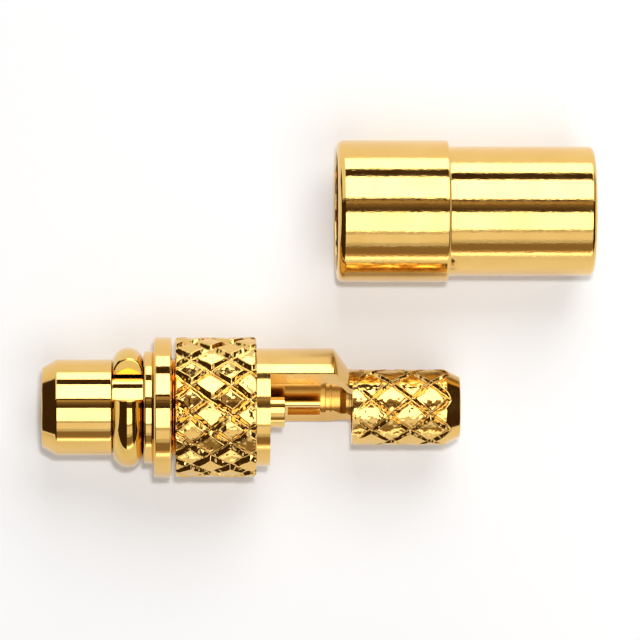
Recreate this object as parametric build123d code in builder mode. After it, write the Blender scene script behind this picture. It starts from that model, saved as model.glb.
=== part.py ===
from build123d import *
import math
import os

# Straight crimp plug of a miniature snap-on coaxial connector, with its loose crimp ferrule.
# Both lie on a flat surface with their axes level and parallel to X. The plug's nose points
# to -X, +Z is up, and the origin is under the middle of the two, on the surface.
# All sizes are in millimetres and degrees. Stations along the plug count from the nose tip.

# Nose, the outer contact that enters the jack
nose_diameter = 2.40
nose_length = 1.75
nose_chamfer_length = 0.36
nose_chamfer_depth = 0.20

# Groove that holds the snap ring
ring_groove_width = 0.80
ring_groove_diameter = 2.00

# Shoulder and flange behind the groove
shoulder_diameter = 2.82
shoulder_length = 0.25
flange_diameter = 3.52
flange_length = 0.44
flange_edge_break = 0.04

# Spigot of the front shell, which is pressed into the rear body
spigot_diameter = 2.50
spigot_length = 1.41
spigot_lead_chamfer = 0.05
joint_gap = 0.10

# Split snap ring
ring_side_clearance = 0.01
ring_floor_clearance = 0.07
ring_thickness = 0.43
ring_side_land = 0.04
ring_gap_angle = 42.7
ring_gap_middle = 31.0

# Insulator, a stepped bead trapped between the two shells
insulator_diameter = 1.70
insulator_head_diameter = 2.00
insulator_head_length = 1.80
insulator_tail_length = 1.00
insulator_recess = 1.75
fit_clearance = 0.01

# Centre contact
pin_diameter = 0.38
pin_recess = 0.40
pin_seat_depth = 0.10
barrel_diameter = 0.72
contact_shoulder_diameter = 1.02
contact_shoulder_length = 0.43
solder_cup_diameter = 0.70
solder_cup_length = 0.89
solder_cup_bore_diameter = 0.52
solder_cup_floor = 0.08
solder_cup_cut_height = 0.105

# Knurled collar of the rear body
collar_diameter = 3.53
collar_length = 2.02
collar_edge_break = 0.05

# Round step behind the collar, and the half shell that the milled window leaves of it
step_diameter = 2.96
step_length = 0.34
half_shell_length = 1.61
shell_cone_length = 0.38
window_length = 2.06
window_turn = 65.2
window_floor_depth = 0.26
window_ramp_length = 0.43
window_ramp_rise = 0.20

# Bores that the window lays open
window_bore_length = 1.78
throat_diameter = 1.66
throat_length = 0.36
throat_cone_length = 0.15

# Crimp stem
stem_diameter = 1.92
stem_bore_diameter = 1.30
stem_length = 2.78
stem_taper_length = 0.40
stem_end_land = 0.11

# Diamond knurls: V-grooves of both hands, with flat diamonds left between them
collar_groove_count = 14
collar_groove_depth = 0.10
collar_groove_angle = 38.6
collar_first_crossing = 0.374
collar_crossing_turn = 5.7
stem_groove_count = 7
stem_groove_depth = 0.065
stem_groove_angle = 40.8
stem_first_crossing = 0.28
stem_crossing_turn = -13.2
stem_plain_length = 0.26
groove_flank_angle = 45.0
cutter_overrun = 0.15
groove_mouth_height = 0.06

# Crimp ferrule: a wide end that slides over the step, and a narrow end for the cable
ferrule_wide_wall = 0.25
ferrule_wide_length = 2.80
ferrule_slide_clearance = 0.05
ferrule_wide_bore_depth = 2.62
ferrule_narrow_diameter = 3.25
ferrule_narrow_length = 3.66
ferrule_narrow_bore_diameter = 2.65
ferrule_wide_end_radius = 0.19
ferrule_narrow_end_radius = 0.14
ferrule_step_radius = 0.05

# Where the ferrule lies beside the plug
ferrule_offset_along = 7.38
ferrule_offset_across = 4.93

# How near an edge lies to the place it is looked for
position_margin = 0.001

# Stations along the plug
groove_start = nose_length
shoulder_start = groove_start + ring_groove_width
flange_start = shoulder_start + shoulder_length
flange_end = flange_start + flange_length
spigot_end = flange_end + spigot_length
pocket_start = spigot_end - insulator_head_length
collar_start = flange_end + joint_gap
collar_end = collar_start + collar_length
window_start = collar_end + step_length
window_end = window_start + window_length
cone_start = window_start + half_shell_length
cone_end = cone_start + shell_cone_length
insulator_end = spigot_end + insulator_tail_length
contact_shoulder_end = insulator_end + contact_shoulder_length
solder_cup_end = contact_shoulder_end + solder_cup_length
throat_start = collar_end + window_bore_length
throat_end = throat_start + throat_length
stem_bore_start = throat_end + throat_cone_length
plug_end = cone_end + stem_length

# Radii
nose_radius = nose_diameter / 2
bore_radius = insulator_diameter / 2 + fit_clearance
pocket_radius = insulator_head_diameter / 2 + fit_clearance
flange_radius = flange_diameter / 2
spigot_radius = spigot_diameter / 2
socket_radius = spigot_radius + fit_clearance
collar_radius = collar_diameter / 2
step_radius = step_diameter / 2
throat_radius = throat_diameter / 2
stem_radius = stem_diameter / 2
stem_bore_radius = stem_bore_diameter / 2
ring_inner_radius = ring_groove_diameter / 2 + ring_floor_clearance
ring_outer_radius = ring_inner_radius + ring_thickness
ferrule_wide_bore_radius = step_radius + ferrule_slide_clearance
ferrule_wide_radius = ferrule_wide_bore_radius + ferrule_wide_wall
ferrule_narrow_radius = ferrule_narrow_diameter / 2
ferrule_narrow_bore_radius = ferrule_narrow_bore_diameter / 2
ferrule_length = ferrule_wide_length + ferrule_narrow_length

# The frame: the middle of the pair's outline, with the lowest line of each piece at height 0
pair_length = max(plug_end, ferrule_offset_along + ferrule_length)
plug_rest_radius = max(collar_radius, flange_radius)
pair_width = plug_rest_radius + ferrule_offset_across + ferrule_wide_radius
plug_tip = Vector(-pair_length / 2, plug_rest_radius - pair_width / 2, plug_rest_radius)
ferrule_tip = Vector(
    plug_tip.X + ferrule_offset_along,
    plug_tip.Y + ferrule_offset_across,
    ferrule_wide_radius,
)

# Half-section planes hold an axis: local x runs along it and local y stands up from it
plug_section = Plane(origin=plug_tip, x_dir=(1, 0, 0), z_dir=(0, -1, 0))
ferrule_section = Plane(origin=ferrule_tip, x_dir=(1, 0, 0), z_dir=(0, -1, 0))
window_section = plug_section.rotated((window_turn, 0, 0))
plug_axis = Axis(plug_tip, (1, 0, 0))
ferrule_axis = Axis(ferrule_tip, (1, 0, 0))


# Helical cutter for one knurl groove, made along Z and then laid along the plug's axis
# The groove's middle line passes the angle crossing_turn at the station crossing.
def knurl_groove(start, end, crossing, crossing_turn, radius, depth, helix_angle, lefthand):
    lead = 2 * math.pi * radius / math.tan(math.radians(helix_angle))
    turned = 360 * (crossing - start) / lead
    start_turn = crossing_turn + (turned if lefthand else -turned)
    start_plane = Plane(origin=plug_tip + Vector(start, 0, 0), x_dir=(0, 0, 1), z_dir=(1, 0, 0))
    half_mouth = (depth + groove_mouth_height) * math.tan(math.radians(groove_flank_angle))
    with BuildPart() as groove:
        with BuildLine() as path:
            Helix(pitch=lead, height=end - start, radius=radius, lefthand=lefthand)
        with BuildSketch(Plane(origin=path.line @ 0, x_dir=(1, 0, 0), z_dir=path.line % 0)):
            with BuildLine():
                Polyline(
                    (-depth, 0),
                    (groove_mouth_height, half_mouth),
                    (groove_mouth_height, -half_mouth),
                    close=True,
                )
            make_face()
        sweep(is_frenet=True)
    return groove.part.rotate(Axis.Z, start_turn).moved(start_plane.location)


# The largest round edge of a turned piece at one place along X
def outer_rim(piece, place):
    rims = piece.edges().filter_by(GeomType.CIRCLE)
    rims_there = rims.filter_by_position(Axis.X, place - position_margin, place + position_margin)
    return rims_there.sort_by(SortBy.RADIUS)[-1]


# Front shell: nose, ring groove, shoulder, flange and spigot, turned in one piece
with BuildPart() as front_shell:
    with BuildSketch(plug_section):
        with BuildLine():
            Polyline(
                (0, bore_radius),
                (0, nose_radius - nose_chamfer_depth),
                (nose_chamfer_length, nose_radius),
                (groove_start, nose_radius),
                (groove_start, ring_groove_diameter / 2),
                (shoulder_start, ring_groove_diameter / 2),
                (shoulder_start, shoulder_diameter / 2),
                (flange_start, shoulder_diameter / 2),
                (flange_start, flange_radius - flange_edge_break),
                (flange_start + flange_edge_break, flange_radius),
                (flange_end - flange_edge_break, flange_radius),
                (flange_end, flange_radius - flange_edge_break),
                (flange_end, spigot_radius),
                (spigot_end - spigot_lead_chamfer, spigot_radius),
                (spigot_end, spigot_radius - spigot_lead_chamfer),
                (spigot_end, pocket_radius),
                (pocket_start, pocket_radius),
                (pocket_start, bore_radius),
                close=True,
            )
        make_face()
    revolve(axis=plug_axis)
front_shell.part.label = "front_shell"

# Snap ring: a D-shaped section with its crown outwards, carried round to the split
with BuildPart() as snap_ring:
    ring_start = groove_start + ring_side_clearance
    ring_end = shoulder_start - ring_side_clearance
    ring_middle = (ring_start + ring_end) / 2
    split_turn = -(ring_gap_middle - ring_gap_angle / 2)
    with BuildSketch(plug_section.rotated((split_turn, 0, 0))):
        with BuildLine():
            Line((ring_start, ring_inner_radius), (ring_end, ring_inner_radius))
            Line((ring_end, ring_inner_radius), (ring_end, ring_inner_radius + ring_side_land))
            ThreePointArc(
                (ring_end, ring_inner_radius + ring_side_land),
                (ring_middle, ring_outer_radius),
                (ring_start, ring_inner_radius + ring_side_land),
            )
            Line((ring_start, ring_inner_radius + ring_side_land), (ring_start, ring_inner_radius))
        make_face()
    revolve(axis=plug_axis, revolution_arc=360 - ring_gap_angle)
snap_ring.part.label = "snap_ring"

# Knurl cutters: one of each hand for the collar, and one of each hand for the crimp stem
collar_cutters = [
    knurl_groove(
        collar_start - cutter_overrun,
        collar_end + cutter_overrun,
        collar_start + collar_first_crossing,
        collar_crossing_turn,
        collar_radius,
        collar_groove_depth,
        collar_groove_angle,
        lefthand,
    )
    for lefthand in (False, True)
]
stem_knurl_start = cone_end + stem_plain_length
stem_cutters = [
    knurl_groove(
        stem_knurl_start,
        plug_end - stem_taper_length + cutter_overrun,
        stem_knurl_start + stem_first_crossing,
        stem_crossing_turn,
        stem_radius,
        stem_groove_depth,
        stem_groove_angle,
        lefthand,
    )
    for lefthand in (False, True)
]

# Rear body: knurled collar, step, half shell and crimp stem, turned and milled in one piece
with BuildPart() as rear_body:
    with BuildSketch(plug_section):
        with BuildLine():
            Polyline(
                (collar_start, socket_radius),
                (collar_start, collar_radius - collar_edge_break),
                (collar_start + collar_edge_break, collar_radius),
                (collar_end - collar_edge_break, collar_radius),
                (collar_end, collar_radius - collar_edge_break),
                (collar_end, step_radius),
                (cone_start, step_radius),
                (cone_end, stem_radius),
                (plug_end - stem_taper_length, stem_radius),
                (plug_end, stem_bore_radius + stem_end_land),
                (plug_end, stem_bore_radius),
                (stem_bore_start, stem_bore_radius),
                (throat_end, throat_radius),
                (throat_start, throat_radius),
                (throat_start, bore_radius),
                (spigot_end, bore_radius),
                (spigot_end, socket_radius),
                close=True,
            )
        make_face()
    revolve(axis=plug_axis)
    with BuildSketch(window_section):
        with BuildLine():
            Polyline(
                (window_start, -window_floor_depth),
                (window_end - window_ramp_length, -window_floor_depth),
                (window_end, window_ramp_rise - window_floor_depth),
                (window_end, collar_diameter),
                (window_start, collar_diameter),
                close=True,
            )
        make_face()
    extrude(amount=collar_diameter, both=True, mode=Mode.SUBTRACT)
    for cutter in collar_cutters:
        for turn in range(collar_groove_count):
            add(cutter.rotate(plug_axis, turn * 360 / collar_groove_count), mode=Mode.SUBTRACT)
    for cutter in stem_cutters:
        for turn in range(stem_groove_count):
            add(cutter.rotate(plug_axis, turn * 360 / stem_groove_count), mode=Mode.SUBTRACT)
rear_body.part.label = "rear_body"

# Insulator: front neck, head and tail, with a stepped hole for the contact
with BuildPart() as insulator:
    pin_hole_radius = pin_diameter / 2 + fit_clearance
    barrel_hole_radius = barrel_diameter / 2 + fit_clearance
    with BuildSketch(plug_section):
        with BuildLine():
            Polyline(
                (insulator_recess, pin_hole_radius),
                (insulator_recess, insulator_diameter / 2),
                (pocket_start, insulator_diameter / 2),
                (pocket_start, insulator_head_diameter / 2),
                (spigot_end, insulator_head_diameter / 2),
                (spigot_end, insulator_diameter / 2),
                (insulator_end, insulator_diameter / 2),
                (insulator_end, barrel_hole_radius),
                (insulator_recess + pin_seat_depth, barrel_hole_radius),
                (insulator_recess + pin_seat_depth, pin_hole_radius),
                close=True,
            )
        make_face()
    revolve(axis=plug_axis)
insulator.part.label = "insulator"

# Centre contact: pin, barrel, round shoulder and the solder cup that is cut open
with BuildPart() as center_contact:
    pin_radius = pin_diameter / 2
    with BuildSketch(plug_section):
        with BuildLine():
            RadiusArc(
                (pin_recess, 0),
                (pin_recess + pin_radius, pin_radius),
                pin_radius,
            )
            Polyline(
                (pin_recess + pin_radius, pin_radius),
                (insulator_recess + pin_seat_depth, pin_radius),
                (insulator_recess + pin_seat_depth, barrel_diameter / 2),
                (insulator_end, barrel_diameter / 2),
                (insulator_end, contact_shoulder_diameter / 2),
                (contact_shoulder_end, contact_shoulder_diameter / 2),
                (contact_shoulder_end, solder_cup_diameter / 2),
                (solder_cup_end, solder_cup_diameter / 2),
                (solder_cup_end, solder_cup_bore_diameter / 2),
                (contact_shoulder_end + solder_cup_floor, solder_cup_bore_diameter / 2),
                (contact_shoulder_end + solder_cup_floor, 0),
                (pin_recess, 0),
            )
        make_face()
    revolve(axis=plug_axis)
    with BuildSketch(window_section):
        with BuildLine():
            Polyline(
                (contact_shoulder_end, solder_cup_cut_height),
                (solder_cup_end + cutter_overrun, solder_cup_cut_height),
                (solder_cup_end + cutter_overrun, solder_cup_diameter),
                (contact_shoulder_end, solder_cup_diameter),
                close=True,
            )
        make_face()
    extrude(amount=solder_cup_diameter, both=True, mode=Mode.SUBTRACT)
center_contact.part.label = "center_contact"

# Crimp ferrule: a drawn tube in two diameters, open at both ends, with rolled edges
with BuildPart() as crimp_ferrule:
    with BuildSketch(ferrule_section):
        with BuildLine():
            Polyline(
                (0, ferrule_wide_bore_radius),
                (0, ferrule_wide_radius),
                (ferrule_wide_length, ferrule_wide_radius),
                (ferrule_wide_length, ferrule_narrow_radius),
                (ferrule_length, ferrule_narrow_radius),
                (ferrule_length, ferrule_narrow_bore_radius),
                (ferrule_wide_bore_depth, ferrule_narrow_bore_radius),
                (ferrule_wide_bore_depth, ferrule_wide_bore_radius),
                close=True,
            )
        make_face()
    revolve(axis=ferrule_axis)
    fillet(outer_rim(crimp_ferrule, ferrule_tip.X), ferrule_wide_end_radius)
    fillet(outer_rim(crimp_ferrule, ferrule_tip.X + ferrule_wide_length), ferrule_step_radius)
    fillet(outer_rim(crimp_ferrule, ferrule_tip.X + ferrule_length), ferrule_narrow_end_radius)
crimp_ferrule.part.label = "crimp_ferrule"

os.makedirs("parts", exist_ok=True)
for piece in (front_shell, snap_ring, rear_body, insulator, center_contact, crimp_ferrule):
    export_step(piece.part, f"parts/{piece.part.label}.step")
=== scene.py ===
"""Looks of a straight coaxial crimp plug and its loose crimp ferrule, both gold plated.

Sizes are in millimetres unless a name says otherwise, and stations count along a piece's axis from
its front end. Angles round an axis count from +Z towards +Y.
"""

import logging
import math
from dataclasses import dataclass
from enum import Enum

import bpy
import numpy as np
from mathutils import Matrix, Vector


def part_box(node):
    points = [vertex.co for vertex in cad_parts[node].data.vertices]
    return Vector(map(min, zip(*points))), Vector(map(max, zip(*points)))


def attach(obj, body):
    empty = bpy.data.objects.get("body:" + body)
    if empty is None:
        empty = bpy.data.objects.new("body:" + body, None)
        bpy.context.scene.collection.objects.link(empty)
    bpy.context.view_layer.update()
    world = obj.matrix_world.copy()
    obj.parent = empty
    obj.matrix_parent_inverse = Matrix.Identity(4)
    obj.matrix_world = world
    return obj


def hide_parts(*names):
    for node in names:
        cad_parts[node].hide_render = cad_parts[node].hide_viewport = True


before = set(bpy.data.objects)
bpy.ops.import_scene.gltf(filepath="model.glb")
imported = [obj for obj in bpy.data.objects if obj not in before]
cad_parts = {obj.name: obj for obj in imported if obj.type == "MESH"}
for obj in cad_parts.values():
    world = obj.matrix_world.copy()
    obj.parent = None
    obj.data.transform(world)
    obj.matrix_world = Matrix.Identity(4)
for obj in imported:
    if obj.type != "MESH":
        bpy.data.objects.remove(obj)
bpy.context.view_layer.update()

MM = 0.001
WELD = 1e-5
CORNER_POINTS = 5
LINE_GUARD = 0.012
NEAR_ZERO = 1e-6
LATTICE = 256
CRISP_ANGLE = 28.0
LOG = logging.getLogger("connector")


class Body(Enum):
    """The bodies that pieces ride on."""

    PLUG = "plug"
    RING = "ring"


class Edge(Enum):
    """How a piece's edges are shaded."""

    ROLLED = "rolled"
    CRISP = "crisp"


# Surfaces


@dataclass(frozen=True)
class TurningAxis:
    """The line along X that a piece is turned about."""

    x: float
    y: float
    z: float

    @classmethod
    def of_node(cls, node: str) -> "TurningAxis":
        """The axis of a round CAD node, from the node's front end.

        Args:
            node: the CAD node's name.

        Returns:
            The axis, in millimetres.
        """
        low, high = (np.array(corner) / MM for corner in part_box(node))
        return cls(low[0], (low[1] + high[1]) / 2, (low[2] + high[2]) / 2)

    def place(self, station: np.ndarray, radius: np.ndarray, angle: np.ndarray) -> np.ndarray:
        """Points at a station, radius and angle: (x + s, y + r sin a, z + r cos a).

        Args:
            station: distances along the axis.
            radius: distances from it.
            angle: angles round it, in radians.

        Returns:
            Points in millimetres, with the coordinates in the last place.
        """
        station, radius, angle = np.broadcast_arrays(station, radius, angle)
        return np.stack(
            [self.x + station, self.y + radius * np.sin(angle), self.z + radius * np.cos(angle)], -1
        )


def grid_triangles(rows: int, cols: int, wrap_rows: bool, wrap_cols: bool, flip: bool) -> np.ndarray:
    """Two triangles for each cell of a grid of points, numbered row by row.

    Args:
        rows: number of rows.
        cols: number of columns.
        wrap_rows: whether the last row joins the first.
        wrap_cols: whether the last column joins the first.
        flip: whether the faces look the other way.

    Returns:
        The triangles' point numbers, one triangle a line.
    """
    row, col = np.meshgrid(
        np.arange(rows if wrap_rows else rows - 1),
        np.arange(cols if wrap_cols else cols - 1),
        indexing="ij",
    )
    below, right = (row + 1) % rows, (col + 1) % cols
    a, b = row * cols + col, row * cols + right
    c, d = below * cols + right, below * cols + col
    found = np.concatenate([np.stack([a, b, c], -1), np.stack([a, c, d], -1)], 1).reshape(-1, 3)
    return found[:, ::-1] if flip else found


@dataclass(frozen=True)
class Patch:
    """One grid of points that is part of a closed skin."""

    points: np.ndarray
    wrap_rows: bool = False
    wrap_cols: bool = False
    flip: bool = False
    finish: int = 0


@dataclass(frozen=True)
class Skin:
    """A closed surface: its points, triangles, and the finish number of each triangle."""

    points: np.ndarray
    triangles: np.ndarray
    finishes: np.ndarray


def closed_skin(patches: list[Patch]) -> Skin:
    """Joins grids into one closed surface whose faces look outwards.

    Points nearer than the weld distance become one, triangles that lose a corner by it go, and the
    sign of the volume (the sum of a . (b x c) / 6 over the triangles) says whether to turn it round.

    Args:
        patches: the grids, whose edges meet.

    Returns:
        The welded surface.
    """
    points, triangles, finishes, start = [], [], [], 0
    for patch in patches:
        rows, cols = patch.points.shape[:2]
        found = grid_triangles(rows, cols, patch.wrap_rows, patch.wrap_cols, patch.flip)
        points.append(patch.points.reshape(-1, 3))
        triangles.append(found + start)
        finishes.append(np.full(len(found), patch.finish))
        start += rows * cols
    points, triangles = np.concatenate(points), np.concatenate(triangles)
    finishes = np.concatenate(finishes)
    keys = np.round(points / WELD).astype(np.int64)
    _, first, back = np.unique(keys, axis=0, return_index=True, return_inverse=True)
    points, triangles = points[first], back.reshape(-1)[triangles]
    whole = (triangles != np.roll(triangles, 1, axis=1)).all(1)
    triangles, finishes = triangles[whole], finishes[whole]
    a, b, c = (points[triangles[:, k]] - points.mean(0) for k in range(3))
    if np.einsum("ij,ij->", a, np.cross(b, c)) < 0:
        triangles = triangles[:, ::-1]
    return Skin(points, triangles, finishes)


def open_edges(skin: Skin) -> int:
    """Number of edges of a skin that don't have exactly two faces.

    Args:
        skin: the surface.

    Returns:
        How many edges are open or shared by more than two faces.
    """
    ends = np.sort(np.concatenate([skin.triangles[:, [0, 1]], skin.triangles[:, [1, 2]],
                                   skin.triangles[:, [2, 0]]]), axis=1)
    _, counts = np.unique(ends, axis=0, return_counts=True)
    return int((counts != 2).sum())


def lathe(axis: TurningAxis, profile: np.ndarray, columns: int, closed: bool = True) -> Skin:
    """Turns a profile about an axis: point (s, r) goes to every angle.

    Args:
        axis: the turning axis.
        profile: stations and radii, one point a line.
        columns: number of angles.
        closed: whether the profile is a loop, or else it starts and ends on the axis.

    Returns:
        The closed skin.
    """
    angle = np.arange(columns) * 2 * np.pi / columns
    points = axis.place(profile[:, :1], profile[:, 1:], angle[None])
    return closed_skin([Patch(points, wrap_rows=closed, wrap_cols=True)])


def block(outer: np.ndarray, inner: np.ndarray, layers: int, cut_finish: int = 0,
          inner_finish: int = 0) -> Skin:
    """The closed skin of a thick sheet between an outer and an inner grid of points.

    Inside the wall a point is outer (1 - m) + inner m, and the skin is where m, the station or the
    arc is at one of its ends.

    Args:
        outer: outer grid, stations by arc.
        inner: inner grid of the same shape.
        layers: number of cells across the wall.
        cut_finish: finish number of the two faces at the arc's ends.
        inner_finish: finish number of the inner face.

    Returns:
        The closed skin.
    """
    share = np.linspace(0, 1, layers + 1)[:, None, None, None]
    body = outer[None] * (1 - share) + inner[None] * share
    return closed_skin([
        Patch(body[0], flip=True),
        Patch(body[-1], finish=inner_finish),
        Patch(body[:, 0]),
        Patch(body[:, -1], flip=True),
        Patch(body[:, :, 0], flip=True, finish=cut_finish),
        Patch(body[:, :, -1], finish=cut_finish),
    ])


def eased_profile(corners: list[tuple], closed: bool = True) -> np.ndarray:
    """A profile whose corners are eased, with enough points for smooth shading.

    Each corner c becomes the curve (1-t)^2 a + 2 t (1-t) c + t^2 b between the points a and b that
    lie its easing away along the two lines. The straight lines get a point just beside each curve and
    points about as far apart as the line's spacing.

    Args:
        corners: (station, radius, easing, spacing of the line that follows) for each corner.
        closed: whether the last corner leads back to the first. If not, both have no easing.

    Returns:
        Stations and radii, one point a line.
    """
    at = np.array([corner[:2] for corner in corners], float)
    count = len(corners)
    found = []
    for n, (_, _, easing, spacing) in enumerate(corners):
        c, before, after = at[n], at[n - 1], at[(n + 1) % count]
        start = c + (before - c) / np.linalg.norm(before - c) * easing
        end = c + (after - c) / np.linalg.norm(after - c) * easing
        t = np.linspace(0, 1, CORNER_POINTS)[:, None] if easing > 0 else np.zeros((1, 1))
        found.append((1 - t) ** 2 * start + 2 * t * (1 - t) * c + t**2 * end)
        if not closed and n == count - 1:
            break
        line = after - end
        length = np.linalg.norm(line)
        line = line / length
        length -= corners[(n + 1) % count][2]
        guard = min(LINE_GUARD, length / 4)
        inside = np.linspace(guard, length - guard, max(2, int(np.ceil(length / spacing)) + 1))
        found.append(end + inside[:, None] * line)
    return np.concatenate(found)


def smooth_noise(u: np.ndarray, v: np.ndarray, seed: int, wrap: int) -> np.ndarray:
    """Soft noise from -1 to 1: random values on a lattice, blended with 3 t^2 - 2 t^3 in each cell.

    Args:
        u: first coordinate, in cells.
        v: second coordinate, in cells.
        seed: which random lattice.
        wrap: number of cells after which v repeats.

    Returns:
        The noise at each (u, v).
    """
    table = np.random.default_rng(seed).uniform(-1, 1, (LATTICE, LATTICE))
    u0, v0 = np.floor(u).astype(int), np.floor(v).astype(int)
    fu, fv = u - u0, v - v0
    fu, fv = fu * fu * (3 - 2 * fu), fv * fv * (3 - 2 * fv)
    rows, cols = (u0 % LATTICE, (u0 + 1) % LATTICE), (v0 % wrap, (v0 + 1) % wrap)
    low = table[rows[0], cols[0]] * (1 - fv) + table[rows[0], cols[1]] * fv
    high = table[rows[1], cols[0]] * (1 - fv) + table[rows[1], cols[1]] * fv
    return low * (1 - fu) + high * fu


# Finishes


class Finish:
    """A finish that can be put on a piece."""

    name: str

    def material(self) -> bpy.types.Material:
        """Makes the Blender material once for each finish name.

        Returns:
            The material.
        """
        made = bpy.data.materials.get(self.name)
        if made is None:
            made = bpy.data.materials.new(self.name)
            made.use_nodes = True
            self.dress(made.node_tree)
        return made

    def dress(self, tree: bpy.types.NodeTree) -> None:
        """Builds the finish's nodes.

        Args:
            tree: the new material's node tree, with its surface shader in place.
        """
        raise NotImplementedError


def noise_node(tree: bpy.types.NodeTree, grain: tuple, detail: float) -> bpy.types.Node:
    """A noise that reads Object coordinates.

    Args:
        tree: the material's nodes.
        grain: size of the grain along X, Y and Z, in millimetres.
        detail: number of finer layers.

    Returns:
        The noise node, whose Fac output runs from 0 to 1.
    """
    nodes, links = tree.nodes, tree.links
    place = nodes.new("ShaderNodeTexCoord")
    scale = nodes.new("ShaderNodeMapping")
    scale.inputs["Scale"].default_value = [1 / (size * MM) for size in grain]
    noise = nodes.new("ShaderNodeTexNoise")
    noise.inputs["Scale"].default_value = 1.0
    noise.inputs["Detail"].default_value = detail
    links.new(place.outputs["Object"], scale.inputs["Vector"])
    links.new(scale.outputs["Vector"], noise.inputs["Vector"])
    return noise


def spread_node(tree: bpy.types.NodeTree, source: bpy.types.NodeSocket, low: float, high: float,
                start: float = 0.3, end: float = 0.7) -> bpy.types.NodeSocket:
    """Spreads a value from start..end over low..high.

    Args:
        tree: the material's nodes.
        source: the value to spread.
        low: result at start.
        high: result at end.
        start: value that gives low.
        end: value that gives high.

    Returns:
        The socket with the result.
    """
    spread = tree.nodes.new("ShaderNodeMapRange")
    for socket, value in zip(("From Min", "From Max", "To Min", "To Max"), (start, end, low, high)):
        spread.inputs[socket].default_value = value
    tree.links.new(source, spread.inputs["Value"])
    return spread.outputs["Result"]


def two_tones(tree: bpy.types.NodeTree, clouds: bpy.types.Node, first: tuple, second: tuple) -> None:
    """Mixes the shader's base colour from two tones by a noise.

    Args:
        tree: the material's nodes.
        clouds: the noise.
        first: the tone where the noise is low.
        second: the tone where it is high.
    """
    tone = tree.nodes.new("ShaderNodeMix")
    tone.data_type = "RGBA"
    tone.inputs["A"].default_value = (*first, 1)
    tone.inputs["B"].default_value = (*second, 1)
    tree.links.new(spread_node(tree, clouds.outputs["Fac"], 0.0, 1.0), tone.inputs["Factor"])
    tree.links.new(tone.outputs["Result"], tree.nodes["Principled BSDF"].inputs["Base Color"])


@dataclass(frozen=True)
class GoldPlate(Finish):
    """Bright gold plate, a little redder where it is thin, with the base metal's marks in its shine."""

    name: str
    color: tuple = (0.83, 0.54, 0.17)
    worn: tuple = (0.79, 0.495, 0.14)
    roughness: float = 0.07
    roughness_spread: float = 0.03
    patch_size: tuple = (0.9, 0.9, 0.9)
    grain: tuple = (0.11, 0.11, 0.11)
    relief: float = 0.0003

    def dress(self, tree: bpy.types.NodeTree) -> None:
        """Builds the gold's nodes.

        Args:
            tree: the material's node tree.
        """
        shader = tree.nodes["Principled BSDF"]
        shader.inputs["Metallic"].default_value = 1.0
        clouds = noise_node(tree, self.patch_size, detail=3.0)
        two_tones(tree, clouds, self.color, self.worn)
        low = self.roughness - self.roughness_spread
        high = self.roughness + self.roughness_spread
        tree.links.new(spread_node(tree, clouds.outputs["Fac"], low, high), shader.inputs["Roughness"])
        marks = noise_node(tree, self.grain, detail=2.0)
        bump = tree.nodes.new("ShaderNodeBump")
        bump.inputs["Strength"].default_value = 1.0
        bump.inputs["Distance"].default_value = self.relief * MM
        tree.links.new(marks.outputs["Fac"], bump.inputs["Height"])
        tree.links.new(bump.outputs["Normal"], shader.inputs["Normal"])


@dataclass(frozen=True)
class WaxyPlastic(Finish):
    """White fluoropolymer: waxy, with faint cloudiness."""

    name: str
    color: tuple = (0.92, 0.91, 0.88)
    cloud: tuple = (0.86, 0.85, 0.81)
    cloud_size: tuple = (0.3, 0.3, 0.3)
    roughness: float = 0.42
    scatter_share: float = 0.25
    scatter_depth: tuple = (0.3, 0.28, 0.25)

    def dress(self, tree: bpy.types.NodeTree) -> None:
        """Builds the plastic's nodes.

        Args:
            tree: the material's node tree.
        """
        shader = tree.nodes["Principled BSDF"]
        shader.inputs["Roughness"].default_value = self.roughness
        shader.inputs["Subsurface Weight"].default_value = self.scatter_share
        shader.inputs["Subsurface Radius"].default_value = self.scatter_depth
        shader.inputs["Subsurface Scale"].default_value = MM
        clouds = noise_node(tree, self.cloud_size, detail=3.0)
        two_tones(tree, clouds, self.color, self.cloud)


TURNED = GoldPlate("turned_gold")
SPRING = GoldPlate("spring_gold", color=(0.80, 0.53, 0.145), worn=(0.76, 0.47, 0.11),
                   roughness=0.06)
KNURLED = GoldPlate("knurled_gold", roughness=0.10, relief=0.0006, grain=(0.05, 0.05, 0.05))
MILLED = GoldPlate("milled_gold", roughness=0.30, roughness_spread=0.08, grain=(0.06, 0.12, 0.12),
                   relief=0.005)
# Inside of the half shell's bore: the deeper, redder gold is painted shade of the recess; the
# roughness, grain and relief are the bored finish.
BORED_PAINTED_SHADE = GoldPlate("bored_gold_painted_shade", color=(0.81, 0.46, 0.11), worn=(0.74, 0.38, 0.08), roughness=0.20,
                  roughness_spread=0.05, grain=(0.03, 0.2, 0.2), relief=0.0008)
# Inside of the open solder cup: the deeper, redder gold is painted shade of the hollow; the roughness
# is the cup's own finish.
TROUGH_PAINTED_SHADE = GoldPlate("trough_gold_painted_shade", color=(0.80, 0.49, 0.145), worn=(0.73, 0.41, 0.10), roughness=0.20,
                   roughness_spread=0.05)
CONTACT = GoldPlate("contact_gold", color=(0.83, 0.57, 0.18), roughness=0.08)
DRAWN = GoldPlate("drawn_gold", roughness=0.08, grain=(0.07, 0.05, 0.05), relief=0.0015)
WHITE = WaxyPlastic("waxy_white")


# Pieces


def add_object(name: str, data: bpy.types.ID) -> bpy.types.Object:
    """Puts a new object into the scene.

    Args:
        name: its name.
        data: its mesh, lamp or camera.

    Returns:
        The object.
    """
    made = bpy.data.objects.new(name, data)
    bpy.context.scene.collection.objects.link(made)
    return made


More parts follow.
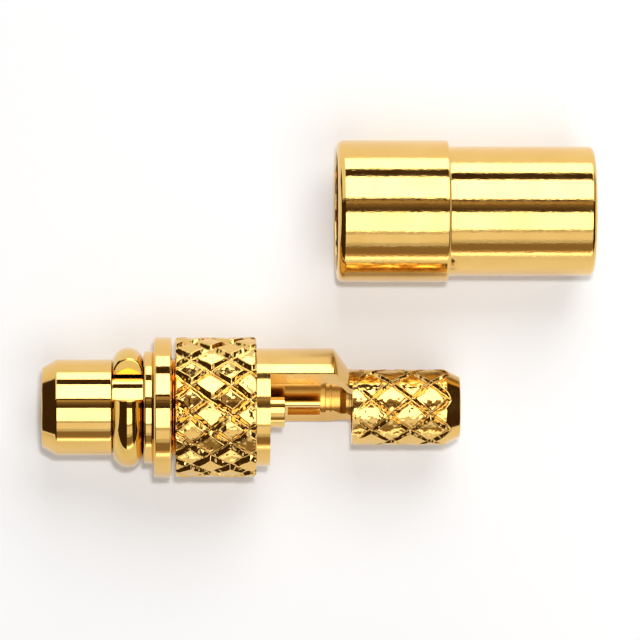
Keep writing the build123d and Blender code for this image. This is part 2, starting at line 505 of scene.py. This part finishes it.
def make_piece(name: str, skins: list[Skin], finishes: list[Finish], node: str,
               body: Body = Body.PLUG, edge: Edge = Edge.ROLLED) -> bpy.types.Object:
    """Puts skins into one object that stands for a CAD node.

    Args:
        name: the object's name.
        skins: closed surfaces in millimetres.
        finishes: finishes, in the order of the skins' finish numbers.
        node: the CAD node that it replaces.
        body: the body that it rides on.
        edge: how the edges are shaded.

    Returns:
        The finished object.
    """
    starts = np.cumsum([0] + [len(skin.points) for skin in skins])
    points = np.concatenate([skin.points for skin in skins]) * MM
    triangles = np.concatenate([skin.triangles + start for skin, start in zip(skins, starts)])
    mesh = bpy.data.meshes.new(name)
    mesh.vertices.add(len(points))
    mesh.vertices.foreach_set("co", points.astype(np.float32).ravel())
    mesh.loops.add(triangles.size)
    mesh.loops.foreach_set("vertex_index", triangles.astype(np.int32).ravel())
    mesh.polygons.add(len(triangles))
    mesh.polygons.foreach_set("loop_start", np.arange(0, triangles.size, 3, dtype=np.int32))
    for finish in finishes:
        mesh.materials.append(finish.material())
    numbers = np.concatenate([skin.finishes for skin in skins])
    mesh.polygons.foreach_set("material_index", numbers.astype(np.int32))
    mesh.update(calc_edges=True)
    mesh.validate()
    mesh.shade_smooth()
    if edge is Edge.CRISP:
        mesh.set_sharp_from_angle(angle=math.radians(CRISP_ANGLE))
    piece = add_object(name, mesh)
    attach(piece, body.value)
    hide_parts(node)
    LOG.info("%s: %d triangles, %d open edges", name, len(triangles), sum(map(open_edges, skins)))
    return piece


@dataclass
class FrontShell:
    """Turned front half: nose, ring groove, shoulder, flange and spigot."""

    axis: TurningAxis
    bore_radius: float = 0.86
    nose_radius: float = 1.20
    tip_radius: float = 1.00
    chamfer: float = 0.36
    groove: tuple = (1.75, 2.55)
    groove_radius: float = 1.00
    shoulder_radius: float = 1.41
    shoulder_break: tuple = (0.05, 0.03)
    flange: tuple = (2.80, 3.24)
    flange_radius: float = 1.76
    flange_break: float = 0.04
    spigot_radius: float = 1.25
    spigot_end: float = 4.65
    spigot_break: float = 0.05
    pocket_start: float = 2.85
    pocket_radius: float = 1.01
    gap_root: tuple = (3.34, 0.07)
    columns: int = 256

    def build(self) -> bpy.types.Object:
        """Turns the shell.

        Returns:
            The nose shell.
        """
        start, end = self.flange
        rim = self.flange_radius - self.flange_break
        gap_end, gap_depth = self.gap_root
        break_along, break_in = self.shoulder_break
        profile = eased_profile([
            (0, self.bore_radius, 0.02, 0.1),
            (0, self.tip_radius, 0.02, 0.1),
            (self.chamfer, self.nose_radius, 0.02, 0.1),
            (self.groove[0], self.nose_radius, 0.045, 0.1),
            (self.groove[0], self.groove_radius, 0.03, 0.1),
            (self.groove[1], self.groove_radius, 0.03, 0.1),
            (self.groove[1], self.shoulder_radius, 0.045, 0.1),
            (start - break_along, self.shoulder_radius, 0.02, 0.1),
            (start, self.shoulder_radius - break_in, 0.01, 0.1),
            (start, rim, 0.012, 0.1),
            (start + self.flange_break, self.flange_radius, 0.012, 0.1),
            (end - self.flange_break, self.flange_radius, 0.012, 0.1),
            (end, rim, 0.012, 0.1),
            (end, self.spigot_radius, 0.01, 0.2),
            ((end + gap_end) / 2, self.spigot_radius - gap_depth, 0.004, 0.1),
            (gap_end, self.spigot_radius, 0.01, 0.2),
            (self.spigot_end - self.spigot_break, self.spigot_radius, 0.01, 0.1),
            (self.spigot_end, self.spigot_radius - self.spigot_break, 0.01, 0.1),
            (self.spigot_end, self.pocket_radius, 0.01, 0.3),
            (self.pocket_start, self.pocket_radius, 0.01, 0.1),
            (self.pocket_start, self.bore_radius, 0.01, 0.3),
        ])
        skin = lathe(self.axis, profile, self.columns)
        return make_piece("nose_shell", [skin], [TURNED], "front_shell")


@dataclass
class SnapRing:
    """Split spring ring with a D-shaped section and slightly rounded ends."""

    axis: TurningAxis
    start: float = 1.76
    end: float = 2.54
    inner_radius: float = 1.07
    thickness: float = 0.43
    land: float = 0.04
    gap_angle: float = 42.7
    gap_middle: float = 31.0
    end_rounding: float = 0.035
    end_lean: float = 14.0
    lean_fade: float = 0.35
    core_share: float = 0.45
    edge_ease: float = 0.02
    crown_points: int = 40
    flat_points: int = 14
    end_points: int = 7
    sections: int = 220

    def section(self) -> np.ndarray:
        """The D: a flat inside, two short lands, and an arc through the crown.

        Returns:
            Stations and radii round the section.
        """
        half = (self.end - self.start) / 2
        middle = (self.end + self.start) / 2
        rise = self.thickness - self.land
        radius = (half**2 + rise**2) / (2 * rise)
        sweep = math.acos((radius - rise) / radius)
        turn = np.linspace(sweep, -sweep, self.crown_points)
        centre = self.inner_radius + self.thickness - radius
        crown = np.stack([middle + radius * np.sin(turn), centre + radius * np.cos(turn)], -1)
        along = np.linspace(self.start, self.end, self.flat_points)
        along = np.clip(along, self.start + self.edge_ease, self.end - self.edge_ease)
        flat = np.stack([along, np.full(self.flat_points, self.inner_radius)], -1)
        return np.concatenate([flat, crown])

    def build(self) -> bpy.types.Object:
        """The ring: the section shrinks to its middle over the rounding at each end.

        At an end the turn is (rounding)(1 - sin a) / r from the end and the section is scaled by
        1 - (rounding)(1 - cos a) / (half its thickness), for a from 90 degrees to 0. Each end face
        leans back from the gap, by tan(lean) (r - mean radius) / r, which fades out along the ring.

        Returns:
            The ring.
        """
        loop = self.section()
        core = np.array([loop[:, 0].mean(), self.inner_radius + self.thickness * self.core_share])
        first = math.radians(self.gap_middle + self.gap_angle / 2)
        last = math.radians(self.gap_middle - self.gap_angle / 2 + 360)
        mean_radius = self.inner_radius + self.thickness / 2
        ease = np.linspace(0, np.pi / 2, self.end_points)
        into = self.end_rounding * (1 - np.sin(ease)) / mean_radius
        shrink = 1 - self.end_rounding * (1 - np.cos(ease[::-1])) / (self.thickness / 2)
        middle = np.linspace(first, last, self.sections)[3:-3]
        turn = np.concatenate([[first], first + into[::-1], middle, last - into, [last]])
        scale = np.concatenate([[0], shrink, np.ones(len(middle)), shrink[::-1], [0]])
        points = core + (loop - core) * scale[:, None, None]
        fade = np.clip(1 - np.minimum(turn - first, last - turn) / self.lean_fade, 0, 1)
        side = np.where(turn < (first + last) / 2, 1, -1) * fade
        lean = side[:, None] * math.tan(math.radians(self.end_lean))
        lean = lean * (points[..., 1] - mean_radius) / points[..., 1]
        grid = self.axis.place(points[..., 0], points[..., 1], turn[:, None] + lean)
        skin = closed_skin([Patch(grid, wrap_cols=True)])
        return make_piece("split_spring", [skin], [SPRING], "snap_ring", Body.RING)


@dataclass(frozen=True)
class Knurl:
    """Diamond knurl: V-grooves of both hands round a cylinder.

    A noise is given as its height, the length of its cells along the axis and their number in a
    turn. The chatter has the length of its cells, its height, and what the grooves add to it.
    """

    radius: float
    count: int
    depth: float
    helix_angle: float
    crossing_station: float
    crossing_angle: float
    start: float
    end: float
    run_out: float
    seed: int
    hand_shares: tuple = ((1, 0.92), (-1, 1.06))
    wander: tuple = (0.019, 0.16, 36)
    waver: tuple = (0.007, 0.06, 48)
    depth_spread: tuple = (0.22, 0.3, 12)
    root_rounding: float = 0.010
    lip_rounding: float = 0.008
    burr_height: float = 0.009
    burr_width: float = 0.018
    low_burr: float = 0.3
    low_from: float = 0.012
    skin_drop: float = 0.018
    skin_wave: tuple = (0.010, 0.22, 18)
    chatter: tuple = ((0.11, 0.0045, 0.005), (0.05, 0.002, 0.004))
    full_chatter: float = 0.02
    burr_chatter: float = 0.5
    end_fade: float = 0.02

    def noise(self, station: np.ndarray, angle: np.ndarray, wave: tuple, layer: int) -> np.ndarray:
        """Soft noise round the cylinder.

        Args:
            station: distances along the axis.
            angle: angles round it, in radians.
            wave: the noise's height, the length of its cells and their number in a turn.
            layer: which noise of this knurl.

        Returns:
            The noise, from minus to plus its height.
        """
        height, length, cells = wave
        turn = angle * cells / (2 * np.pi)
        return height * smooth_noise(station / length, turn, self.seed + layer, cells)

    def cut(self, station: np.ndarray, angle: np.ndarray) -> np.ndarray:
        """How deep the surface lies under the cylinder.

        Each hand has its lines at angle0 +- tan(helix) (s - s0) / R. With d the distance from the
        nearest line, square to it, the groove is max(0, depth - d) with a rounded root and lips, and
        a low burr h exp(-((d - depth) / w)^2) stands at its lips. Soft noise moves the lines and
        tilts the diamonds, and finer noise, stronger in the grooves, is the tool's chatter.

        Args:
            station: distances along the axis.
            angle: angles round it, in radians.

        Returns:
            The depth at each point, in millimetres.
        """
        lean = math.radians(self.helix_angle)
        pitch = 2 * np.pi / self.count
        burr, groove = np.zeros(np.broadcast(station, angle).shape), 0.0
        run = np.clip((station - self.start) / max(self.run_out, NEAR_ZERO), 0, 1)
        run = run * np.clip((self.end - station) / self.end_fade, 0, 1)
        for hand, share in self.hand_shares:
            line = math.radians(self.crossing_angle) + hand * math.tan(lean) / self.radius * (
                station - self.crossing_station
            )
            off = (angle - line + pitch / 2) % pitch - pitch / 2
            across = self.noise(station, angle, self.wander, hand)
            across = across + self.noise(station, angle, self.waver, 3 + hand)
            d = np.abs(self.radius * off * math.cos(lean) + across)
            spread = 1 + self.noise(station, angle, self.depth_spread, 7 + hand)
            deep = self.depth * share * spread * run
            raw = deep - (np.sqrt(d**2 + self.root_rounding**2) - self.root_rounding)
            rounded = (raw + np.sqrt(raw**2 + self.lip_rounding**2)) / 2 - self.lip_rounding / 8
            groove = np.maximum(groove, rounded)
            past = (d - deep - self.lip_rounding) / self.burr_width
            burr = np.maximum(burr, self.burr_height * run * np.exp(-(past**2)))
        groove = np.maximum(groove, 0)
        flat = self.skin_drop + self.noise(station, angle, self.skin_wave, 11)
        for cell, height, extra in self.chatter:
            cells = int(2 * np.pi * self.radius / cell)
            marks = self.noise(station, angle, (1, cell, cells), cells)
            flat = flat + marks * (height + extra * np.clip(groove / self.full_chatter, 0, 1))
            burr = burr * (1 + self.burr_chatter * marks)
        return groove + flat - np.where(groove < self.low_from, burr, burr * self.low_burr)


@dataclass
class RearBody:
    """Knurled collar and step, half shell of the milled window, and crimp stem, in one metal."""

    axis: TurningAxis
    socket_radius: float = 1.26
    bore_radius: float = 0.86
    collar: tuple = (3.34, 5.36)
    collar_radius: float = 1.765
    collar_break: float = 0.05
    socket_end: float = 4.65
    step_radius: float = 1.48
    window: tuple = (5.70, 7.76)
    window_turn: float = 65.2
    floor_depth: float = 0.26
    ramp_start: float = 7.33
    ramp_rise: float = 0.20
    cone: tuple = (7.31, 7.69)
    throat: tuple = (7.14, 7.50)
    throat_radius: float = 0.83
    throat_groove: tuple = (7.24, 7.28)
    relief: tuple = (7.02, 7.13)
    relief_depth: float = 0.09
    between: tuple = (6.2, 6.7, 7.41, 7.57)
    arc_points: int = 121
    stem_bore_start: float = 7.65
    stem_bore_radius: float = 0.65
    stem_radius: float = 0.96
    stem_plain: float = 0.26
    taper_start: float = 10.07
    end: float = 10.47
    end_radius: float = 0.76

    def knurled(self, profile: np.ndarray, knurl: Knurl, columns: int, outside: float) -> Skin:
        """Turns a profile whose outside carries a knurl.

        Args:
            profile: stations and radii of a closed loop.
            knurl: the knurl.
            columns: number of angles.
            outside: rows with a larger radius than this are outside.

        Returns:
            The closed skin.
        """
        angle = np.arange(columns)[None] * 2 * np.pi / columns
        station, radius = profile[:, :1], profile[:, 1:]
        lowered = np.minimum(radius, knurl.radius - knurl.cut(station, angle))
        radius = np.where(radius > outside, lowered, radius)
        points = self.axis.place(station, radius, angle)
        return closed_skin([Patch(points, wrap_rows=True, wrap_cols=True)])

    def build_collar(self) -> bpy.types.Object:
        """Turns and knurls the collar, with the round step behind it.

        Returns:
            The collar.
        """
        start, end = self.collar
        profile = eased_profile([
            (start, self.socket_radius, 0.01, 0.1),
            (start, self.collar_radius - self.collar_break, 0.012, 0.015),
            (start + self.collar_break, self.collar_radius, 0.015, 0.0205),
            (end - self.collar_break, self.collar_radius, 0.015, 0.015),
            (end, self.collar_radius - self.collar_break, 0.012, 0.1),
            (end, self.step_radius, 0.012, 0.08),
            (self.window[0], self.step_radius, 0.004, 0.1),
            (self.window[0], self.bore_radius, 0.004, 0.3),
            (self.socket_end, self.bore_radius, 0.01, 0.2),
            (self.socket_end, self.socket_radius, 0.01, 0.3),
        ])
        knurl = Knurl(
            self.collar_radius, count=14, depth=0.10, helix_angle=38.6,
            crossing_station=start + 0.374, crossing_angle=-5.7, start=start - 1, end=end + 1,
            run_out=0.0, seed=11,
        )
        skin = self.knurled(profile, knurl, columns=520, outside=1.6)
        return make_piece("knurled_collar", [skin], [KNURLED], "rear_body")

    def build_half_shell(self) -> bpy.types.Object:
        """The half shell under the window.

        A section's outer and inner arcs end where they meet the floor plane p . n = h, at the angle
        arccos(h / r) from the window's direction n, and h rises along the ramp. A relief before the
        throat and a groove in it are cut a little deeper into the bore.

        Returns:
            The half shell.
        """
        start, end = self.window
        step, relief, groove, wall = self.throat[0], self.relief, self.throat_groove, 0.01
        first, second, third, fourth = self.between
        stations = np.array([
            start, start + 0.02, first, second, relief[0] - wall, *relief, step, step, step + 0.02,
            groove[0], groove[0] + wall, groove[1] - wall, groove[1], self.ramp_start, third,
            self.throat[1], fourth, self.stem_bore_start, self.cone[1], end,
        ])
        outer_radius = np.interp(stations, self.cone, (self.step_radius, self.stem_radius))
        inner_radius = np.interp(
            stations, (self.throat[1], self.stem_bore_start),
            (self.throat_radius, self.stem_bore_radius),
        )
        before_step, in_relief, in_groove = slice(0, 8), slice(5, 7), slice(11, 13)
        inner_radius[before_step] = self.bore_radius
        inner_radius[in_relief] += self.relief_depth
        inner_radius[in_groove] += self.relief_depth
        height = np.interp(stations, (self.ramp_start, end), (0, self.ramp_rise)) - self.floor_depth
        arc = np.linspace(0, 1, self.arc_points)[None]

        def sheet(radius: np.ndarray) -> np.ndarray:
            """Points of one arc sheet of the shell.

            Args:
                radius: the sheet's radius at each station.

            Returns:
                Points, stations by arc.
            """
            half = np.arccos(height / radius)[:, None]
            turn = half + arc * (2 * np.pi - 2 * half)
            facing = -math.radians(self.window_turn)
            return self.axis.place(stations[:, None], radius[:, None], facing + turn)

        # The bore's inner face (finish 2) gets the gold that is darkened as painted shade.
        skin = block(sheet(outer_radius), sheet(inner_radius), layers=8, cut_finish=1,
                     inner_finish=2)
        return make_piece("half_shell", [skin], [TURNED, MILLED, BORED_PAINTED_SHADE], "rear_body",
                          edge=Edge.CRISP)

    def build_stem(self) -> bpy.types.Object:
        """Turns and knurls the crimp stem.

        Returns:
            The stem.
        """
        front = self.window[1]
        profile = eased_profile([
            (front, self.stem_bore_radius, 0.004, 0.1),
            (front, self.stem_radius, 0.012, 0.016),
            (self.taper_start, self.stem_radius, 0.02, 0.03),
            (self.end, self.end_radius, 0.02, 0.1),
            (self.end, self.stem_bore_radius, 0.02, 0.2),
        ])
        start = self.cone[1] + self.stem_plain
        knurl = Knurl(
            self.stem_radius, count=7, depth=0.065, helix_angle=40.8,
            crossing_station=start + 0.28, crossing_angle=13.2, start=start - 0.04,
            end=self.end, run_out=0.16, seed=23,
        )
        skin = self.knurled(profile, knurl, columns=440, outside=0.70)
        return make_piece("crimp_stem", [skin], [KNURLED], "rear_body")

    def build(self) -> list[bpy.types.Object]:
        """All of the rear body."""
        return [self.build_collar(), self.build_half_shell(), self.build_stem()]


@dataclass
class Bead:
    """White insulator between the two shells."""

    axis: TurningAxis
    front: float = 1.75
    head: tuple = (2.85, 4.65)
    end: float = 5.65
    radius: float = 0.85
    head_radius: float = 1.00
    pin_hole: float = 0.20
    barrel_hole: float = 0.37
    seat: float = 1.85
    columns: int = 128

    def build(self) -> bpy.types.Object:
        """Turns the stepped bead.

        Returns:
            The bead.
        """
        profile = eased_profile([
            (self.front, self.pin_hole, 0.015, 0.1),
            (self.front, self.radius, 0.03, 0.2),
            (self.head[0], self.radius, 0.01, 0.2),
            (self.head[0], self.head_radius, 0.01, 0.2),
            (self.head[1], self.head_radius, 0.01, 0.2),
            (self.head[1], self.radius, 0.01, 0.2),
            (self.end, self.radius, 0.02, 0.2),
            (self.end, self.barrel_hole, 0.01, 0.3),
            (self.seat, self.barrel_hole, 0.01, 0.1),
            (self.seat, self.pin_hole, 0.01, 0.1),
        ])
        skin = lathe(self.axis, profile, self.columns)
        return make_piece("white_bead", [skin], [WHITE], "insulator")


@dataclass
class CentreContact:
    """Pin, barrel, round shoulder and the solder cup that is cut open."""

    axis: TurningAxis
    tip: float = 0.40
    tip_profile: tuple = ((0.0, 0.08), (0.07, 0.16))
    pin_radius: float = 0.19
    seat: float = 1.85
    barrel_radius: float = 0.36
    shoulder: tuple = (5.65, 6.08)
    shoulder_radius: float = 0.51
    cup_end: float = 6.97
    cup_radius: float = 0.35
    cup_bore: float = 0.26
    cup_floor: float = 0.08
    cup_between: tuple = (6.35, 6.65)
    arc_points: int = 73
    cut_height: float = 0.105
    window_turn: float = 65.2

    def arc(self, stations: np.ndarray, radius: float, share: np.ndarray) -> np.ndarray:
        """The part of a circle that the cut leaves: it ends where r cos(a) is the cut's height.

        Args:
            stations: distances along the axis.
            radius: the circle's radius.
            share: places along the arc, from 0 to 1.

        Returns:
            Points, stations by arc.
        """
        half = math.acos(self.cut_height / radius)
        turn = half + share[None] * (2 * np.pi - 2 * half) - math.radians(self.window_turn)
        return self.axis.place(stations[:, None], np.full((1, 1), radius), turn)

    def build(self) -> bpy.types.Object:
        """Makes the contact in three skins that meet face to face.

        Returns:
            The contact.
        """
        start, end = self.shoulder
        profile = eased_profile([
            (self.tip, 0, 0, 0.05),
            *((self.tip + along, radius, 0.03, 0.05) for along, radius in self.tip_profile),
            (self.tip + self.pin_radius, self.pin_radius, 0.04, 0.1),
            (self.seat, self.pin_radius, 0.01, 0.1),
            (self.seat, self.barrel_radius, 0.01, 0.3),
            (start, self.barrel_radius, 0.01, 0.1),
            (start, self.shoulder_radius, 0.02, 0.05),
            (end, self.shoulder_radius, 0.02, 0.1),
            (end, 0, 0, 0.1),
        ], closed=False)
        share = np.linspace(0, 1, self.arc_points)
        floor = np.array([end, end + self.cup_floor])
        cup = np.array([floor[1], *self.cup_between, self.cup_end - 0.02, self.cup_end])
        outer = self.arc(floor, self.cup_radius, share)
        chord = outer[:, :1] * (1 - share[None, :, None]) + outer[:, -1:] * share[None, :, None]
        skins = [
            lathe(self.axis, profile, columns=160, closed=False),
            block(outer, chord, layers=6),
            # The cup's inner face (finish 1) gets the gold that is darkened as painted shade.
            block(self.arc(cup, self.cup_radius, share), self.arc(cup, self.cup_bore, share),
                  layers=5, inner_finish=1),
        ]
        return make_piece("solder_cup_contact", skins, [CONTACT, TROUGH_PAINTED_SHADE], "center_contact",
                          edge=Edge.CRISP)


@dataclass
class Ferrule:
    """Loose drawn tube in two diameters."""

    axis: TurningAxis
    wide_radius: float = 1.78
    wide_bore: float = 1.53
    wide_length: float = 2.80
    bore_depth: float = 2.62
    narrow_radius: float = 1.625
    narrow_bore: float = 1.325
    length: float = 6.46
    columns: int = 320

    def build(self) -> bpy.types.Object:
        """Makes the drawn tube with its rolled ends.

        Returns:
            The tube.
        """
        profile = eased_profile([
            (0, self.wide_bore, 0.03, 0.1),
            (0, self.wide_radius, 0.19, 0.15),
            (self.wide_length, self.wide_radius, 0.06, 0.05),
            (self.wide_length, self.narrow_radius, 0.03, 0.15),
            (self.length, self.narrow_radius, 0.14, 0.1),
            (self.length, self.narrow_bore, 0.03, 0.2),
            (self.bore_depth, self.narrow_bore, 0.03, 0.1),
            (self.bore_depth, self.wide_bore, 0.03, 0.2),
        ])
        skin = lathe(self.axis, profile, self.columns)
        return make_piece("drawn_ferrule", [skin], [DRAWN], "crimp_ferrule")


# Studio


WARM = (1.0, 0.74, 0.45)


@dataclass(frozen=True)
class SoftBox:
    """A long soft box whose length runs along X, seen from the object between two angles.

    Angles count from straight up towards +Y, in degrees.
    """

    name: str
    first: float
    last: float
    brightness: float
    colour: tuple = (1.0, 1.0, 1.0)
    distance: float = 120.0
    along: tuple = (-15.0, 65.0)

    def build(self, centre: Vector) -> bpy.types.Object:
        """Hangs the box square to its middle direction.

        Its width is 2 D tan(half its angle), and its power is brightness times pi times its area.

        Args:
            centre: the middle of the object, in metres.

        Returns:
            The lamp.
        """
        middle = math.radians((self.first + self.last) / 2)
        width = 2 * self.distance * math.tan(math.radians(self.last - self.first) / 2) * MM
        length = (self.along[1] - self.along[0]) * MM
        light = bpy.data.lights.new(self.name, "AREA")
        light.shape = "RECTANGLE"
        light.size, light.size_y = length, width
        light.energy = self.brightness * math.pi * length * width
        light.color = self.colour
        lamp = add_object(self.name, light)
        away = Vector((0, math.sin(middle), math.cos(middle)))
        shift = Vector((sum(self.along) / 2 * MM, 0, 0))
        lamp.location = centre + away * self.distance * MM + shift
        lamp.rotation_euler = (-middle, 0, 0)
        lamp.visible_camera = False
        return lamp


@dataclass(frozen=True)
class DarkCard:
    """A dark card behind the boxes that glows faintly warm, which metal shows as dark bands between
    them.

    It is a part of a cylinder about the object's X axis, (x, D sin a, D cos a) for angles a between
    its first and last, and the camera doesn't see it.
    """

    name: str
    first: float
    last: float
    along: tuple
    distance: float = 126.0
    colour: tuple = (0.05, 0.0275, 0.011)
    columns: int = 33

    def build(self, centre: Vector) -> bpy.types.Object:
        """Hangs the card.

        Args:
            centre: the middle of the object, in metres.

        Returns:
            The card.
        """
        angle = np.radians(np.linspace(self.first, self.last, self.columns))
        middle = TurningAxis(*(np.array(centre) / MM))
        points = middle.place(np.array(self.along)[:, None], self.distance, angle[None]) * MM
        faces = grid_triangles(2, self.columns, wrap_rows=False, wrap_cols=False, flip=False)
        mesh = bpy.data.meshes.new(self.name)
        mesh.from_pydata(points.reshape(-1, 3).tolist(), [], faces.tolist())
        card = add_object(self.name, mesh)
        card.visible_camera = False
        material = bpy.data.materials.new(self.name)
        material.use_nodes = True
        shader = material.node_tree.nodes["Principled BSDF"]
        shader.inputs["Base Color"].default_value = (0.0, 0.0, 0.0, 1)
        shader.inputs["Specular IOR Level"].default_value = 0.0
        # The card's colour is its faint glow: painted light, which metal shows as dim brown bands.
        shader.inputs["Emission Color"].default_value = (*self.colour, 1)
        shader.inputs["Emission Strength"].default_value = 1.0
        mesh.materials.append(material)
        return card


@dataclass(frozen=True)
class HighLamp:
    """A small lamp almost overhead, whose shadows are narrow. Shiny metal doesn't show it."""

    name: str = "high_lamp"
    lean: float = 4.2
    share: float = 0.37
    distance: float = 119.0
    size: float = 6.5

    def build(self, centre: Vector) -> bpy.types.Object:
        """Hangs the lamp.

        Seen square on from a distance D a small lamp of power P gives P / (pi D^2), and its share of
        the light on a white sheet is that over pi.

        Args:
            centre: the middle of the object, in metres.

        Returns:
            The lamp.
        """
        lean = math.radians(self.lean)
        light = bpy.data.lights.new(self.name, "AREA")
        light.shape = "DISK"
        light.size = self.size * MM
        light.energy = self.share * (math.pi * self.distance * MM) ** 2
        lamp = add_object(self.name, light)
        lamp.location = centre + Vector((0, math.sin(lean), math.cos(lean))) * self.distance * MM
        lamp.rotation_euler = (-lean, 0, 0)
        lamp.visible_camera = lamp.visible_glossy = False
        return lamp


@dataclass
class Studio:
    """White table in white surroundings, soft boxes before dark cards, and the camera above."""

    table_colour: tuple = (0.945, 0.955, 0.97)
    table_reach: float = 50.0
    table_roughness: float = 0.9
    surroundings: float = 0.05
    lamp_height: float = 1.77
    camera_distance: float = 137.0
    camera_tilt: float = 1.65
    frame_width: float = 16.08
    frame_middle: tuple = (0.049, -0.2825, 1.77)
    sensor_width: float = 36.0
    clip: tuple = (0.001, 10.0)
    boxes: tuple = (
        SoftBox("box_back", 71.5, 94.0, 3.5),
        SoftBox("box_upper_back", 17.2, 60.5, 3.6),
        SoftBox("box_top_back", 12.0, 17.2, 0.42, WARM),
        SoftBox("box_top", 6.5, 12.0, 0.15, WARM),
        SoftBox("box_top_front", 1.5, 6.5, 0.05, WARM),
        SoftBox("box_upper_front", -33.0, -2.2, 2.9),
        SoftBox("box_mid_front", -38.0, -33.0, 0.62),
        SoftBox("box_front", -53.0, -38.0, 1.0),
        SoftBox("box_low_mid_front", -59.5, -53.0, 0.65),
        SoftBox("box_front_dim", -75.5, -59.5, 0.25, WARM),
        SoftBox("box_front_edge", -80.0, -75.5, 0.60, WARM),
        SoftBox("box_low_front", -87.5, -80.0, 2.0),
    )
    cards: tuple = (
        DarkCard("card_front", -88.0, 20.0, (-260.0, 235.0)),
        DarkCard("card_back", 20.0, 95.0, (-15.0, 65.0)),
        DarkCard("card_left_arch", 20.0, 95.0, (-260.0, -115.0)),
        DarkCard("card_right_arch", 20.0, 95.0, (115.0, 235.0)),
    )

    def build_table(self) -> bpy.types.Object:
        """Lays out a plain white table top that keeps the shadows.

        Returns:
            The table top.
        """
        half = self.table_reach * MM
        mesh = bpy.data.meshes.new("table")
        mesh.from_pydata(
            [(-half, -half, 0), (half, -half, 0), (half, half, 0), (-half, half, 0)], [], [(0, 1, 2, 3)]
        )
        table = add_object("table", mesh)
        material = bpy.data.materials.new("white_table")
        material.use_nodes = True
        shader = material.node_tree.nodes["Principled BSDF"]
        shader.inputs["Base Color"].default_value = (*self.table_colour, 1)
        shader.inputs["Roughness"].default_value = self.table_roughness
        mesh.materials.append(material)
        return table

    def build_world(self) -> None:
        """Dim for the light, and plain white for the camera and for what metal shows."""
        world = bpy.data.worlds.new("surroundings")
        bpy.context.scene.world = world
        world.use_nodes = True
        tree = world.node_tree
        dim = tree.nodes["Background"]
        dim.inputs["Color"].default_value = (1, 1, 1, 1)
        dim.inputs["Strength"].default_value = self.surroundings
        white = tree.nodes.new("ShaderNodeBackground")
        white.inputs["Color"].default_value = (1, 1, 1, 1)
        path = tree.nodes.new("ShaderNodeLightPath")
        seen = path.outputs["Is Camera Ray"]
        for kind in ("Is Glossy Ray", "Is Transmission Ray"):
            either = tree.nodes.new("ShaderNodeMath")
            either.operation = "MAXIMUM"
            tree.links.new(seen, either.inputs[0])
            tree.links.new(path.outputs[kind], either.inputs[1])
            seen = either.outputs["Value"]
        chosen = tree.nodes.new("ShaderNodeMixShader")
        tree.links.new(seen, chosen.inputs["Fac"])
        tree.links.new(dim.outputs["Background"], chosen.inputs[1])
        tree.links.new(white.outputs["Background"], chosen.inputs[2])
        tree.links.new(chosen.outputs["Shader"], tree.nodes["World Output"].inputs["Surface"])

    def build_camera(self) -> bpy.types.Object:
        """Hangs a long lens almost straight above, leaning a little from the nose's side.

        Returns:
            The camera.
        """
        middle = Vector(self.frame_middle) * MM
        lean = math.radians(self.camera_tilt)
        away = Vector((-math.sin(lean), 0, math.cos(lean)))
        data = bpy.data.cameras.new("camera")
        data.sensor_width = self.sensor_width
        data.lens = data.sensor_width * self.camera_distance / self.frame_width
        data.clip_start, data.clip_end = self.clip
        camera = add_object("camera", data)
        camera.location = middle + away * self.camera_distance * MM
        camera.rotation_euler = (0, -lean, 0)
        bpy.context.scene.camera = camera
        return camera

    def build(self) -> None:
        """The whole studio."""
        centre = Vector((0, 0, self.lamp_height * MM))
        self.build_table()
        self.build_world()
        for part in (*self.boxes, *self.cards, HighLamp()):
            part.build(centre)
        self.build_camera()
        bpy.context.scene.view_settings.view_transform = "Standard"


def main() -> None:
    """Builds the plug, the ferrule and the studio."""
    logging.basicConfig(level=logging.INFO, format="%(message)s")
    plug_axis = TurningAxis.of_node("front_shell")
    ferrule_axis = TurningAxis.of_node("crimp_ferrule")
    FrontShell(plug_axis).build()
    SnapRing(plug_axis).build()
    RearBody(plug_axis).build()
    Bead(plug_axis).build()
    CentreContact(plug_axis).build()
    Ferrule(ferrule_axis).build()
    Studio().build()


if __name__ == "__main__":
    main()
